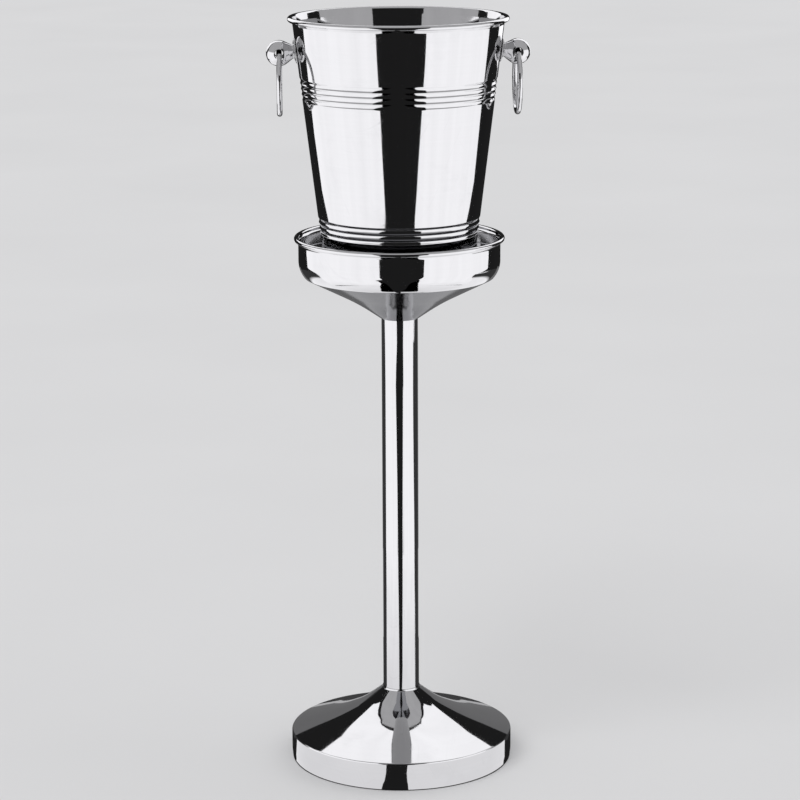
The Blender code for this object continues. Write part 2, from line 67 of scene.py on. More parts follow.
# Base
BASE_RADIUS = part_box("base_cover")[1].x
BASE_BAND_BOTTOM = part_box("base_cover")[0].z
BASE_BAND_TOP = 0.0296
BASE_CORNER_FILLET = 0.0018
BASE_SHOULDER = (0.070, 0.0452, 0.25)
BASE_THROAT = (0.042, 0.0588, 0.12)
BASE_NECK_RADIUS = 0.0198
BASE_NECK_HEIGHT = 0.0757
BASE_NECK_FILLET = 0.0022
BASE_NECK_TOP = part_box("base_cover")[1].z
HEM_HEIGHT = 0.008
HEM_INSET = 0.0009
HEM_FILLET = 0.03
LIP_GAP = 0.00025

PLATE_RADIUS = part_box("bottom_plate")[1].x
PLATE_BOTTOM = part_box("bottom_plate")[0].z
PLATE_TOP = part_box("bottom_plate")[1].z
PLATE_HOLE_RADIUS = 0.0125
PLATE_SCREW_COUNT = 3
PLATE_SCREW_CIRCLE = 0.070
PLATE_SCREW_RADIUS = 0.002
PLATE_SCREW_HEAD_RADIUS = 0.0042
PLATE_SCREW_LENGTH = 0.012
PLATE_SCREW_CLEARANCE = 0.0004
PLATE_SCREW_TURN = 0.25  # of the angle between two screws
PLATE_SCREW_SOCKET = 0.0014
FOOT_OUTER_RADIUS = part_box("rubber_foot_ring")[1].x
FOOT_INNER_RADIUS = 0.1045
FOOT_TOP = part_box("rubber_foot_ring")[1].z
FOOT_GROOVE_PLACES = (0.3, 0.6)  # across the ring's width, from the inside
FOOT_GROOVE_WIDTH = 0.1  # of the ring's width
FOOT_GROOVE_DEPTH = 0.0004

# Pole
POLE_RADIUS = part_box("pole_tube")[1].x
POLE_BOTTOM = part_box("pole_tube")[0].z
POLE_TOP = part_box("pole_tube")[1].z
POLE_WALL = 0.0012

# Bowl
BOWL_RIM_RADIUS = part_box("bowl_shell")[1].x
BOWL_BEAD = 0.0024
BOWL_RIM_HEIGHT = 0.5617
BOWL_BAND_RADIUS = 0.1045
BOWL_BELLY_TOP = 0.5386
BOWL_BELLY_SIZE = 0.026
BOWL_CREASE_ANGLE = -40
BOWL_THROAT = (0.045, 0.4948, 0.25)
BOWL_NECK_RADIUS = 0.02
BOWL_NECK_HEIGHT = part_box("bowl_shell")[0].z
BOWL_LIP_FILLET = 0.004
PAN_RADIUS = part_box("seat_pan")[1].x
PAN_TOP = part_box("seat_pan")[1].z
PAN_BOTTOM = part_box("seat_pan")[0].z
PAN_EDGE_FILLET = 0.002

# Bucket
BUCKET_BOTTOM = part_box("bucket_shell")[0].z
BUCKET_RIM_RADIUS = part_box("bucket_shell")[1].x
BUCKET_RIM_HEIGHT = 0.7873
BUCKET_BOTTOM_RADIUS = 0.0789
BUCKET_BOTTOM_FILLET = 0.006
BUCKET_TOP_RADIUS = 0.1084
BUCKET_BEAD = 0.0026
BEAD_START = -110
BEAD_END = 160
GROOVE_PITCH = 0.0057
UPPER_GROOVE_DEPTH = 0.00078
LOWER_GROOVE_DEPTH = 0.0009
UPPER_GROOVES_HEIGHT = 0.7168
UPPER_GROOVE_COUNT = 4
LOWER_GROOVES_HEIGHT = 0.5763
LOWER_GROOVE_COUNT = 3

# Handles, along each handle's own axis from the bucket's wall
HANDLE_HEIGHT = 0.755
ROSE_RADIUS = 0.0126
ROSE_THICKNESS = 0.0023
ROSE_EDGE = 0.0011
KNOB_BALL_RADIUS = 0.0132
KNOB_BALL_CENTRE = 0.0173
KNOB_FOOT_RADIUS = 0.0077
KNOB_WAIST_RADIUS = 0.0069
KNOB_SHOULDER_ANGLE = 60
KNOB_THREAD_DEPTH = 0.008
RING_HOLE_RADIUS = 0.0046
RING_HOLE_FLARE = 0.0009
RING_RADIUS = 0.0315
RING_ROD_RADIUS = 0.0028
RING_TOP_ABOVE_HOLE_CENTRE = 0.0013
SCREW_RADIUS = 0.0024
SCREW_HOLE_RADIUS = 0.0028
SCREW_HEAD_RADIUS = 0.0046
SCREW_HEAD_HEIGHT = 0.0026
SCREW_CROWN_RADIUS = 0.0032
SCREW_SOCKET_RADIUS = 0.0018
SCREW_SOCKET_DEPTH = 0.0014
GASKET_RADIUS = 0.007
GASKET_TOP = -0.0017
GASKET_THICKNESS = 0.0014
HANDLE_WASHER_RADIUS = 0.006
HANDLE_WASHER_THICKNESS = 0.001


# ---------------------------------------------------------------- lines in the (radius, height) plane


def rounded(corners, steps=8):
    """The line through corners of (radius, height, fillet), with an arc of steps at each fillet."""
    line = []
    for index, (radius, height, fillet) in enumerate(corners):
        corner = Vector((radius, height))
        if not fillet:
            line.append(corner)
            continue
        back = (Vector(corners[index - 1][:2]) - corner).normalized()
        ahead = (Vector(corners[(index + 1) % len(corners)][:2]) - corner).normalized()
        half_angle = back.angle(ahead) / 2
        centre = corner + (back + ahead).normalized() * fillet / math.sin(half_angle)
        start = (corner + back * fillet / math.tan(half_angle) - centre).normalized()
        end = (corner + ahead * fillet / math.tan(half_angle) - centre).normalized()
        for step in range(steps + 1):
            line.append(centre + start.slerp(end, step / steps) * fillet)
    return line


def arc(radius, height, size, start, end, steps):
    """Points on an arc of radius size about (radius, height), from angle start to angle end."""
    points = []
    for step in range(steps + 1):
        angle = math.radians(start + (end - start) * step / steps)
        points.append(Vector((radius + size * math.cos(angle), height + size * math.sin(angle))))
    return points


def offset(line, distance):
    """The line moved by distance to the left of its own direction."""
    normals = []
    for start, end in zip(line, line[1:]):
        along = (end - start).normalized()
        normals.append(Vector((-along.y, along.x)))
    moved = []
    for index, point in enumerate(line):
        before = normals[max(index - 1, 0)]
        after = normals[min(index, len(normals) - 1)]
        between = (before + after).normalized()
        moved.append(point + between * distance / between.dot(after))
    return moved


# ---------------------------------------------------------------- pieces


def add_object(name, shape, body, node, material, place=Matrix.Identity(4)):
    """A piece from the bmesh shape that stands for a CAD node and rides on its body."""
    bmesh.ops.recalc_face_normals(shape, faces=shape.faces)
    mesh = bpy.data.meshes.new(name)
    shape.to_mesh(mesh)
    shape.free()
    mesh.shade_smooth()
    mesh.set_sharp_from_angle(angle=math.radians(SHARP_ANGLE))
    mesh.materials.append(material)
    item = bpy.data.objects.new(name, mesh)
    item.matrix_world = place
    bpy.context.scene.collection.objects.link(item)
    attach(item, body)
    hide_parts(node)
    return item


def held(outline):
    """The closed outline with a point close to both ends of each long side, so that it shades flat."""
    points = []
    for index, point in enumerate(outline):
        start, end = Vector(outline[index - 1]), Vector(point)
        length = (end - start).length
        if length > LONG_SIDE:
            points.append(start.lerp(end, HOLD_MARGIN / length))
            points.append(end.lerp(start, HOLD_MARGIN / length))
        points.append(end)
    return points


def turn(outline, sides):
    """The closed outline turned about the Z axis, as a bmesh."""
    shape = bmesh.new()
    points = [shape.verts.new((point.x, 0, point.y)) for point in held(outline)]
    edges = []
    for index, point in enumerate(points):
        edges.append(shape.edges.new((points[index - 1], point)))
    bmesh.ops.spin(
        shape,
        geom=points + edges,
        cent=(0, 0, 0),
        axis=(0, 0, 1),
        angle=math.tau,
        steps=sides,
        use_merge=True,
    )
    bmesh.ops.remove_doubles(shape, verts=shape.verts, dist=0.000001)
    return shape


def flat_ring(inner, outer, bottom, top, sides):
    """A flat ring with its edges broken, as a bmesh."""
    corners = [(inner, bottom), (outer, bottom), (outer, top), (inner, top)]
    return turn(rounded([(*corner, EDGE_ROUND) for corner in corners], steps=4), sides)


def carve(piece, shape):
    """Take the closed bmesh shape, set out in the piece's own axes, out of the piece for good."""
    bmesh.ops.recalc_face_normals(shape, faces=shape.faces)
    mesh = bpy.data.meshes.new("cutter")
    shape.to_mesh(mesh)
    shape.free()
    cutter = bpy.data.objects.new("cutter", mesh)
    cutter.matrix_world = piece.matrix_world.copy()
    bpy.context.scene.collection.objects.link(cutter)
    boolean = piece.modifiers.new("cut", "BOOLEAN")
    boolean.operation = "DIFFERENCE"
    boolean.solver = "EXACT"
    boolean.object = cutter
    bpy.context.view_layer.update()
    depsgraph = bpy.context.evaluated_depsgraph_get()
    carved = bpy.data.meshes.new_from_object(piece.evaluated_get(depsgraph))
    piece.modifiers.clear()
    piece.data = carved
    carved.shade_smooth()
    carved.set_sharp_from_angle(angle=math.radians(SHARP_ANGLE))
    bpy.data.objects.remove(cutter)


def socket_cutter(radius, bottom, top):
    """A hexagonal bar for a screw's socket."""
    shape = bmesh.new()
    bmesh.ops.create_cone(
        shape,
        cap_ends=True,
        segments=6,
        radius1=radius,
        radius2=radius,
        depth=top - bottom,
        matrix=Matrix.Translation((0, 0, (bottom + top) / 2)),
    )
    return shape


# ---------------------------------------------------------------- stand


def base_cover(look):
    outer = rounded(
        [
            (BASE_RADIUS - HEM_INSET, BASE_BAND_BOTTOM, 0),
            (BASE_RADIUS, BASE_BAND_BOTTOM + HEM_HEIGHT, HEM_FILLET),
            (BASE_RADIUS, BASE_BAND_TOP, BASE_CORNER_FILLET),
            BASE_SHOULDER,
            BASE_THROAT,
            (BASE_NECK_RADIUS, BASE_NECK_HEIGHT, BASE_NECK_FILLET),
            (BASE_NECK_RADIUS, BASE_NECK_TOP, 0),
        ],
        steps=14,
    )
    inner = offset(outer, SHEET)
    lip = POLE_RADIUS + LIP_GAP
    inner = [point if point.x > lip else Vector((lip, point.y)) for point in inner]
    add_object("spun_base", turn(outer + inner[::-1], SHELL_SIDES), "stand", "base_cover", look)


def bottom_plate(look):
    plate = flat_ring(PLATE_HOLE_RADIUS, PLATE_RADIUS, PLATE_BOTTOM, PLATE_TOP, SHELL_SIDES)
    piece = add_object("under_plate", plate, "stand", "bottom_plate", look)
    head = PLATE_SCREW_HEAD_RADIUS + PLATE_SCREW_CLEARANCE
    shank = PLATE_SCREW_RADIUS + PLATE_SCREW_CLEARANCE
    through = PLATE_TOP - PLATE_BOTTOM + GAP
    outline = [(0, -GAP), (head, -GAP), (head, 0), (shank, head - shank), (shank, through), (0, through)]
    for place in screw_places():
        countersink = turn([Vector(point) for point in outline], SMALL_SIDES)
        bmesh.ops.transform(countersink, matrix=place, verts=countersink.verts)
        carve(piece, countersink)


def screw_places():
    """Where the plate's screws go."""
    for number in range(PLATE_SCREW_COUNT):
        angle = math.tau * (number + PLATE_SCREW_TURN) / PLATE_SCREW_COUNT
        radius = PLATE_SCREW_CIRCLE
        yield Matrix.Translation((radius * math.cos(angle), radius * math.sin(angle), PLATE_BOTTOM))


def plate_screws(look):
    slope = PLATE_SCREW_HEAD_RADIUS - PLATE_SCREW_RADIUS
    corners = [
        (0, 0, 0),
        (PLATE_SCREW_HEAD_RADIUS, 0, EDGE_ROUND),
        (PLATE_SCREW_RADIUS, slope, EDGE_ROUND),
        (PLATE_SCREW_RADIUS, PLATE_SCREW_LENGTH - PLATE_SCREW_RADIUS / 2, EDGE_ROUND),
        (PLATE_SCREW_RADIUS / 2, PLATE_SCREW_LENGTH, 0),
        (0, PLATE_SCREW_LENGTH, 0),
    ]
    for number, place in enumerate(screw_places(), 1):
        node = f"plate_screw_{number}"
        shape = turn(rounded(corners, steps=3), SMALL_SIDES)
        piece = add_object(f"base_screw_{number}", shape, "stand", node, look, place)
        carve(piece, socket_cutter(PLATE_SCREW_SOCKET, -GAP, PLATE_SCREW_SOCKET))


def foot_ring(look):
    """The rubber ring under the base, with two fine grooves in its tread."""
    width = FOOT_OUTER_RADIUS - FOOT_INNER_RADIUS
    corners = [(FOOT_INNER_RADIUS, 0, 2 * EDGE_ROUND)]
    for share in FOOT_GROOVE_PLACES:
        start = FOOT_INNER_RADIUS + width * share
        end = start + width * FOOT_GROOVE_WIDTH
        corners.append((start, 0, EDGE_ROUND))
        corners.append((start, FOOT_GROOVE_DEPTH, 0))
        corners.append((end, FOOT_GROOVE_DEPTH, 0))
        corners.append((end, 0, EDGE_ROUND))
    corners.append((FOOT_OUTER_RADIUS, 0, 2 * EDGE_ROUND))
    corners.append((FOOT_OUTER_RADIUS, FOOT_TOP, EDGE_ROUND))
    corners.append((FOOT_INNER_RADIUS, FOOT_TOP, EDGE_ROUND))
    shape = turn(rounded(corners, steps=3), SHELL_SIDES)
    add_object("tread_ring", shape, "stand", "rubber_foot_ring", look)


def pole_tube(look):
    inner = POLE_RADIUS - POLE_WALL
    corners = [(inner, POLE_BOTTOM), (POLE_RADIUS, POLE_BOTTOM), (POLE_RADIUS, POLE_TOP), (inner, POLE_TOP)]
    shape = turn([Vector(corner) for corner in corners], HUB_SIDES)
    add_object("pole", shape, "stand", "pole_tube", look)


def bowl_shell(look, satin_and_painted_shade_look):
    """The bowl: polished outside down to its crease, and brushed below that and inside, where its darker
    colour is painted shade.
    """
    bead_centre = BOWL_RIM_RADIUS - BOWL_BEAD
    belly_centre = BOWL_BAND_RADIUS - BOWL_BELLY_SIZE
    belly = arc(belly_centre, BOWL_BELLY_TOP, BOWL_BELLY_SIZE, BOWL_CREASE_ANGLE, 0, 24)
    cone = rounded([(BOWL_NECK_RADIUS, BOWL_NECK_HEIGHT, 0), BOWL_THROAT, (*belly[0], 0)], steps=14)
    bead = arc(bead_centre, BOWL_RIM_HEIGHT, BOWL_BEAD, BEAD_START, BEAD_END, 24)
    lip = rounded(
        [
            (BOWL_BAND_RADIUS, BOWL_BELLY_TOP + HOLD_MARGIN, 0),
            (BOWL_BAND_RADIUS, bead[0].y - SHEET, BOWL_LIP_FILLET),
            (*bead[0], 0),
        ]
    )[:-1]
    outer = cone + belly[1:] + lip
    inner = offset(outer, SHEET)
    shape = turn(outer + bead + inner[::-1], SHELL_SIDES)
    piece = add_object("bowl", shape, "stand", "bowl_shell", look)
    piece.data.materials.append(satin_and_painted_shade_look)
    # Faces under the crease and inside take the second material, whose darker colour is painted shade.
    for face in piece.data.polygons:
        outward = Vector((face.center.x, face.center.y, 0)).normalized()
        under = face.center.z < belly[0].y and face.normal.z < 0
        inside = face.center.z < lip[0].y and face.normal.dot(outward) < 0
        if under or inside:
            face.material_index = 1


def seat_pan(look, satin_and_painted_shade_look):
    """The pan that the bucket stands on, brushed and darkened with painted shade like the bowl's inside."""
    outer = rounded([(PAN_RADIUS, PAN_BOTTOM, 0), (PAN_RADIUS, PAN_TOP, PAN_EDGE_FILLET), (0, PAN_TOP, 0)])
    shape = turn(outer + offset(outer, SHEET)[::-1], SHELL_SIDES)
    piece = add_object("bowl_pan", shape, "stand", "seat_pan", look)
    piece.data.materials[0] = satin_and_painted_shade_look


HIDDEN_PARTS = {
    "base_weight": "cast_iron",
    "base_hub": "cast_aluminium",
    "bowl_hub": "cast_aluminium",
    "tie_rod": "bright_steel",
    "bottom_washer": "bright_steel",
    "bottom_nut": "bright_steel",
    "top_washer": "bright_steel",
    "top_nut": "bright_steel",
}


def hidden_parts(looks):
    """The parts inside the stand keep the frame's shapes, with rounded edges and finishes of their own."""
    for node, slot in HIDDEN_PARTS.items():
        item = frame["nodes"][node]
        item.data.materials.clear()
        item.data.materials.append(looks[slot])
        bevel = item.modifiers.new("edges", "BEVEL")
        bevel.width = EDGE_ROUND
        bevel.segments = 2
        bevel.limit_method = "ANGLE"
        bevel.angle_limit = math.radians(SHARP_ANGLE)


# ---------------------------------------------------------------- bucket


def bucket_radius(height):
    share = (height - BUCKET_BOTTOM) / (BUCKET_RIM_HEIGHT - BUCKET_BOTTOM)
    return BUCKET_BOTTOM_RADIUS + (BUCKET_TOP_RADIUS - BUCKET_BOTTOM_RADIUS) * share


def bucket_taper():
    rise = BUCKET_RIM_HEIGHT - BUCKET_BOTTOM
    return math.atan((BUCKET_TOP_RADIUS - BUCKET_BOTTOM_RADIUS) / rise)


def grooves(middle, count, depth, steps=12):
    """Round-bottomed grooves side by side round the wall, from the lowest crest to the highest."""
    line = []
    lowest = middle - count * GROOVE_PITCH / 2
    for step in range(steps * count + 1):
        height = lowest + step * GROOVE_PITCH / steps
        sunk = depth * abs(math.sin(math.pi * step / steps))
        line.append(Vector((bucket_radius(height) - sunk, height)))
    return line


def bucket_shell(look):
    bead_centre = BUCKET_RIM_RADIUS - BUCKET_BEAD
    under_bead = BUCKET_RIM_HEIGHT - 2 * BUCKET_BEAD
    foot = rounded(
        [
            (0, BUCKET_BOTTOM, 0),
            (BUCKET_BOTTOM_RADIUS, BUCKET_BOTTOM, BUCKET_BOTTOM_FILLET),
            (bucket_radius(LOWER_GROOVES_HEIGHT), LOWER_GROOVES_HEIGHT, 0),
        ],
        steps=12,
    )[:-1]
    wall_top = Vector((bucket_radius(under_bead), under_bead))
    outer = foot + grooves(LOWER_GROOVES_HEIGHT, LOWER_GROOVE_COUNT, LOWER_GROOVE_DEPTH)
    outer += grooves(UPPER_GROOVES_HEIGHT, UPPER_GROOVE_COUNT, UPPER_GROOVE_DEPTH) + [wall_top]
    bead = arc(bead_centre, BUCKET_RIM_HEIGHT, BUCKET_BEAD, BEAD_START, BEAD_END, 24)
    shape = turn(outer + bead + offset(outer, SHEET)[::-1], SHELL_SIDES)
    add_object("bucket", shape, "bucket", "bucket_shell", look)


def handle_place(side):
    """The handle's place on the wall: its Z axis is the handle's axis, and its Y axis the world's."""
    sign = 1 if side == "right" else -1
    wall = Matrix.Translation((sign * bucket_radius(HANDLE_HEIGHT), 0, HANDLE_HEIGHT))
    return wall @ Matrix.Rotation(sign * (math.radians(90) + bucket_taper()), 4, "Y")


def rose(side, look):
    outline = rounded(
        [
            (SCREW_HOLE_RADIUS, GAP, 0),
            (ROSE_RADIUS, GAP, EDGE_ROUND),
            (ROSE_RADIUS, ROSE_EDGE, 2 * EDGE_ROUND),
            (KNOB_FOOT_RADIUS + GAP, ROSE_THICKNESS, 2 * EDGE_ROUND),
            (SCREW_HOLE_RADIUS, ROSE_THICKNESS, 0),
        ],
        steps=6,
    )
    shape = turn(outline, HUB_SIDES)
    add_object(f"{side}_rose", shape, "bucket", f"{side}_handle_rose", look, handle_place(side))


def knob(side, look):
    foot = ROSE_THICKNESS + GAP
    thread_end = foot + KNOB_THREAD_DEPTH
    waist_height = foot + KNOB_FOOT_RADIUS - KNOB_WAIST_RADIUS
    ball = arc(0, KNOB_BALL_CENTRE, KNOB_BALL_RADIUS, KNOB_SHOULDER_ANGLE - 90, 90, 48)
    neck = rounded(
        [
            (SCREW_HOLE_RADIUS, foot, 0),
            (KNOB_FOOT_RADIUS, foot, EDGE_ROUND),
            (KNOB_WAIST_RADIUS, waist_height, 2 * EDGE_ROUND),
            (*ball[0], 0),
        ]
    )[:-1]
    outline = [*neck, *ball, Vector((0, thread_end)), Vector((SCREW_HOLE_RADIUS, thread_end))]
    shape = turn(outline, HUB_SIDES)
    piece = add_object(f"{side}_ball_knob", shape, "bucket", f"{side}_knob", look, handle_place(side))
    carve(piece, ring_drill())


def ring_drill():
    """The bar that drills the ball across for the ring, flared so that it breaks the hole's edges."""
    reach = KNOB_BALL_RADIUS + RING_HOLE_FLARE
    mouth = math.sqrt(KNOB_BALL_RADIUS**2 - RING_HOLE_RADIUS**2)
    wide = RING_HOLE_RADIUS + RING_HOLE_FLARE + reach - mouth
    outline = rounded(
        [
            (0, -reach, 0),
            (wide, -reach, 0),
            (RING_HOLE_RADIUS, RING_HOLE_FLARE - mouth, 2 * RING_HOLE_FLARE),
            (RING_HOLE_RADIUS, mouth - RING_HOLE_FLARE, 2 * RING_HOLE_FLARE),
            (wide, reach, 0),
            (0, reach, 0),
        ]
    )
    shape = turn(outline, HUB_SIDES)
    along_y = Matrix.Translation((0, 0, KNOB_BALL_CENTRE)) @ Matrix.Rotation(math.radians(90), 4, "X")
    bmesh.ops.transform(shape, matrix=along_y, verts=shape.verts)
    return shape


def ring_handle(side, look):
    joint = next(item for item in frame["joints"] if item["name"] == f"{side}_ring_swing")
    middle = RING_TOP_ABOVE_HOLE_CENTRE - RING_RADIUS
    outline = arc(RING_RADIUS, 0, RING_ROD_RADIUS, 0, 360, 28)[:-1]
    shape = turn(outline, SHELL_SIDES)
    upright = Matrix.Rotation(math.radians(90), 4, "Y")
    place = Matrix.Translation(Vector(joint["pos_m"]) + Vector((0, 0, middle))) @ upright
    add_object(f"{side}_ring_handle", shape, f"{side}_ring", f"{side}_ring", look, place)


def handle_fixings(side, looks):
    """Inside the wall: a gasket, a washer and the socket screw that holds the knob."""
    place = handle_place(side)
    top = GASKET_TOP
    bottom = top - GASKET_THICKNESS
    gasket = flat_ring(SCREW_HOLE_RADIUS, GASKET_RADIUS, bottom, top, SMALL_SIDES)
    add_object(f"{side}_gasket", gasket, "bucket", f"{side}_handle_gasket", looks["silicone"], place)

    steel = looks["bright_steel"]
    top = bottom - GAP
    bottom = top - HANDLE_WASHER_THICKNESS
    washer = flat_ring(SCREW_HOLE_RADIUS, HANDLE_WASHER_RADIUS, bottom, top, SMALL_SIDES)
    add_object(f"{side}_washer", washer, "bucket", f"{side}_handle_washer", steel, place)

    seat = bottom - GAP
    crown = seat - SCREW_HEAD_HEIGHT
    tip = ROSE_THICKNESS + KNOB_THREAD_DEPTH - GAP
    outline = rounded(
        [
            (0, crown, 0),
            (SCREW_CROWN_RADIUS, crown, 2 * EDGE_ROUND),
            (SCREW_HEAD_RADIUS, crown + SCREW_HEAD_HEIGHT / 2, 2 * EDGE_ROUND),
            (SCREW_HEAD_RADIUS, seat, EDGE_ROUND),
            (SCREW_RADIUS, seat, 0),
            (SCREW_RADIUS, tip - SCREW_RADIUS / 2, 0),
            (SCREW_RADIUS / 2, tip, 0),
            (0, tip, 0),
        ],
        steps=6,
    )
    shape = turn(outline, SMALL_SIDES)
    piece = add_object(f"{side}_screw", shape, "bucket", f"{side}_handle_screw", steel, place)
    carve(piece, socket_cutter(SCREW_SOCKET_RADIUS, crown - GAP, crown + SCREW_SOCKET_DEPTH))


# ---------------------------------------------------------------- materials

FLAT_SHARE = 0.83  # how dense the turning lines are on a level face, against an upright one


def new_material(name):
    """A new material, with its node tree and its main shader."""
    material = bpy.data.materials.new(f"{name}_finish")
    material["slot"] = name
    material.use_nodes = True
    return material, material.node_tree, material.node_tree.nodes["Principled BSDF"]


def put(tree, kind, inputs=None, **settings):
    """A new node. Each input is a constant, or another node's output to link."""
    made = tree.nodes.new(kind)
    for name, value in settings.items():
        setattr(made, name, value)
    feed(tree, made, inputs or {})
    return made


def feed(tree, node, inputs):
    for name, value in inputs.items():
        if isinstance(value, bpy.types.NodeSocket):
            tree.links.new(value, node.inputs[name])
        else:
            node.inputs[name].default_value = value


def maths(tree, operation, *values):
    made = put(tree, "ShaderNodeMath", dict(enumerate(values)), operation=operation)
    return made.outputs[0]


def spread(tree, value, low, high, to_low, to_high):
    """The value's range from low to high, moved to the new range."""
    inputs = {"Value": value, "From Min": low, "From Max": high, "To Min": to_low, "To Max": to_high}
    return put(tree, "ShaderNodeMapRange", inputs).outputs["Result"]


def noise(tree, vector, scale, detail=2.0, roughness=0.5):
    inputs = {"Vector": vector, "Scale": scale, "Detail": detail, "Roughness": roughness}
    return put(tree, "ShaderNodeTexNoise", inputs).outputs[0]


def scaled(tree, vector, x, y, z):
    inputs = {0: vector, 1: (x, y, z)}
    return put(tree, "ShaderNodeVectorMath", inputs, operation="MULTIPLY").outputs[0]


def lathe_places(tree):
    """The place in the piece's own axes, its direction round the axis, and how far across the lines."""
    place = put(tree, "ShaderNodeTexCoord").outputs["Object"]
    apart = put(tree, "ShaderNodeSeparateXYZ", {0: place})
    level = put(tree, "ShaderNodeCombineXYZ", {0: apart.outputs[0], 1: apart.outputs[1]}).outputs[0]
    radius = put(tree, "ShaderNodeVectorMath", {0: level}, operation="LENGTH").outputs["Value"]
    around = put(tree, "ShaderNodeVectorMath", {0: level}, operation="NORMALIZE").outputs[0]
    across = maths(tree, "MULTIPLY_ADD", radius, FLAT_SHARE, apart.outputs[2])
    return place, around, across


def lathe_noise(tree, around, across, turns, lines, detail=2.0):
    """Noise drawn out along the turning lines: lines to the metre across them, and turns round the axis."""
    apart = put(tree, "ShaderNodeSeparateXYZ", {0: scaled(tree, around, turns, turns, turns)})
    inputs = {0: apart.outputs[0], 1: apart.outputs[1], 2: maths(tree, "MULTIPLY", across, lines)}
    vector = put(tree, "ShaderNodeCombineXYZ", inputs).outputs[0]
    return noise(tree, vector, 1.0, detail)


def scratches(tree, place, along, across, share):
    """1 on short fine scratches and 0 off them. Along and across are the stretch of each scratch."""
    turned = put(
        tree,
        "ShaderNodeVectorRotate",
        {"Vector": place, "Rotation": (0.5, 0.3, share)},
        rotation_type="EULER_XYZ",
    ).outputs[0]
    lines = noise(tree, scaled(tree, turned, across, along, along), 1.0, 1.0)
    return spread(tree, lines, 0.68, 0.76, 0.0, 1.0)


def mix_colour(tree, share, first, second):
    made = put(tree, "ShaderNodeMix", data_type="RGBA")
    colours = [socket for socket in made.inputs if socket.type == "RGBA"]
    feed(tree, made, {0: share})
    colours[0].default_value = (*first, 1)
    colours[1].default_value = (*second, 1)
    return next(socket for socket in made.outputs if socket.type == "RGBA")


def bumped(tree, height, distance, normal=None):
    inputs = {"Height": height, "Distance": distance, "Strength": 1.0}
    if normal:
        inputs["Normal"] = normal
    return put(tree, "ShaderNodeBump", inputs).outputs[0]


def satin_steel_and_painted_shade():
    """The bowl inside and underneath: spun steel brushed round with a fine pad, in a base colour well
    darker than steel's. The dark colour is painted shade, which makes it look grey.
    """
    material, tree, shader = new_material("satin_steel_and_painted_shade")
    place, around, across = lathe_places(tree)
    fine = lathe_noise(tree, around, across, 2, 2800, detail=3.0)
    broad = lathe_noise(tree, around, across, 2, 300)
    patches = noise(tree, place, 18, 3)
    gloss = spread(tree, fine, 0.3, 0.7, 0.09, 0.16)
    shade = maths(tree, "MULTIPLY_ADD", patches, 0.5, maths(tree, "MULTIPLY", broad, 0.5))
    # Both colours are well darker than steel's own: painted shade inside and under the bowl.
    colour = mix_colour(tree, shade, (0.264, 0.267, 0.278), (0.188, 0.191, 0.201))
    normal = bumped(tree, broad, 0.000004)
    normal = bumped(tree, fine, 0.000002, normal)
    inputs = {"Base Color": colour, "Metallic": 1.0, "Roughness": gloss, "Normal": normal}
    feed(tree, shader, inputs)
    return material


def polished_steel():
    """Mirror-polished spun steel: faint spinning lines, a slow waviness, hairline scratches and smudges."""
    material, tree, shader = new_material("polished_steel")
    place, around, across = lathe_places(tree)
    fine = lathe_noise(tree, around, across, 3, 2600)
    broad = lathe_noise(tree, around, across, 2, 420)
    rolled = lathe_noise(tree, around, across, 7, 6, detail=1.0)
    smudges = spread(tree, noise(tree, place, 26, 4, 0.62), 0.56, 0.74, 0.0, 1.0)
    dust = spread(tree, noise(tree, place, 900, 1), 0.70, 0.80, 0.0, 1.0)
    hairs = scratches(tree, place, 16, 1300, 0.4)
    more_hairs = scratches(tree, place, 20, 1100, 2.1)

    marks = maths(tree, "MAXIMUM", hairs, more_hairs)
    gloss = spread(tree, fine, 0.3, 0.7, 0.022, 0.05)
    gloss = maths(tree, "MULTIPLY_ADD", spread(tree, broad, 0.35, 0.7, 0.0, 1.0), 0.012, gloss)
    gloss = maths(tree, "MULTIPLY_ADD", smudges, 0.045, gloss)
    gloss = maths(tree, "MULTIPLY_ADD", marks, 0.035, gloss)
    gloss = maths(tree, "MULTIPLY_ADD", dust, 0.08, gloss)

    shade = maths(tree, "MULTIPLY_ADD", smudges, 0.35, maths(tree, "MULTIPLY", broad, 0.3))
    shade = maths(tree, "MULTIPLY_ADD", marks, 0.25, shade)
    colour = mix_colour(tree, shade, (0.622, 0.622, 0.629), (0.556, 0.556, 0.564))
    normal = bumped(tree, rolled, 0.000025)
    normal = bumped(tree, broad, 0.0000015, normal)
    normal = bumped(tree, fine, 0.0000006, normal)
    feed(
        tree,
        shader,
        {
            "Base Color": colour,
            "Metallic": 1.0,
            "Roughness": gloss,
            "Normal": normal,
        },
    )
    return material


def bright_steel():
    """Plated steel turned on a lathe: plain rings, brighter where it is rubbed, dull in patches."""
    material, tree, shader = new_material("bright_steel")
    place, around, across = lathe_places(tree)
    rings = lathe_noise(tree, around, across, 2, 3400, detail=3.0)
    broad = lathe_noise(tree, around, across, 2, 500)
    patches = spread(tree, noise(tree, place, 60, 4, 0.6), 0.4, 0.7, 0.0, 1.0)
    marks = scratches(tree, place, 60, 1500, 1.2)
    gloss = spread(tree, rings, 0.25, 0.75, 0.16, 0.30)
    gloss = maths(tree, "MULTIPLY_ADD", patches, 0.10, gloss)
    gloss = maths(tree, "MULTIPLY_ADD", marks, 0.12, gloss)
    shade = maths(tree, "MULTIPLY_ADD", patches, 0.5, maths(tree, "MULTIPLY", broad, 0.4))
    colour = mix_colour(tree, shade, (0.70, 0.70, 0.71), (0.52, 0.52, 0.54))
    normal = bumped(tree, broad, 0.000012)
    normal = bumped(tree, rings, 0.000008, normal)
    normal = bumped(tree, marks, 0.000006, normal)
    feed(
        tree,
        shader,
        {
            "Base Color": colour,
            "Metallic": 1.0,
            "Roughness": gloss,
            "Anisotropic": 0.4,
            "Normal": normal,
        },
    )
    return material


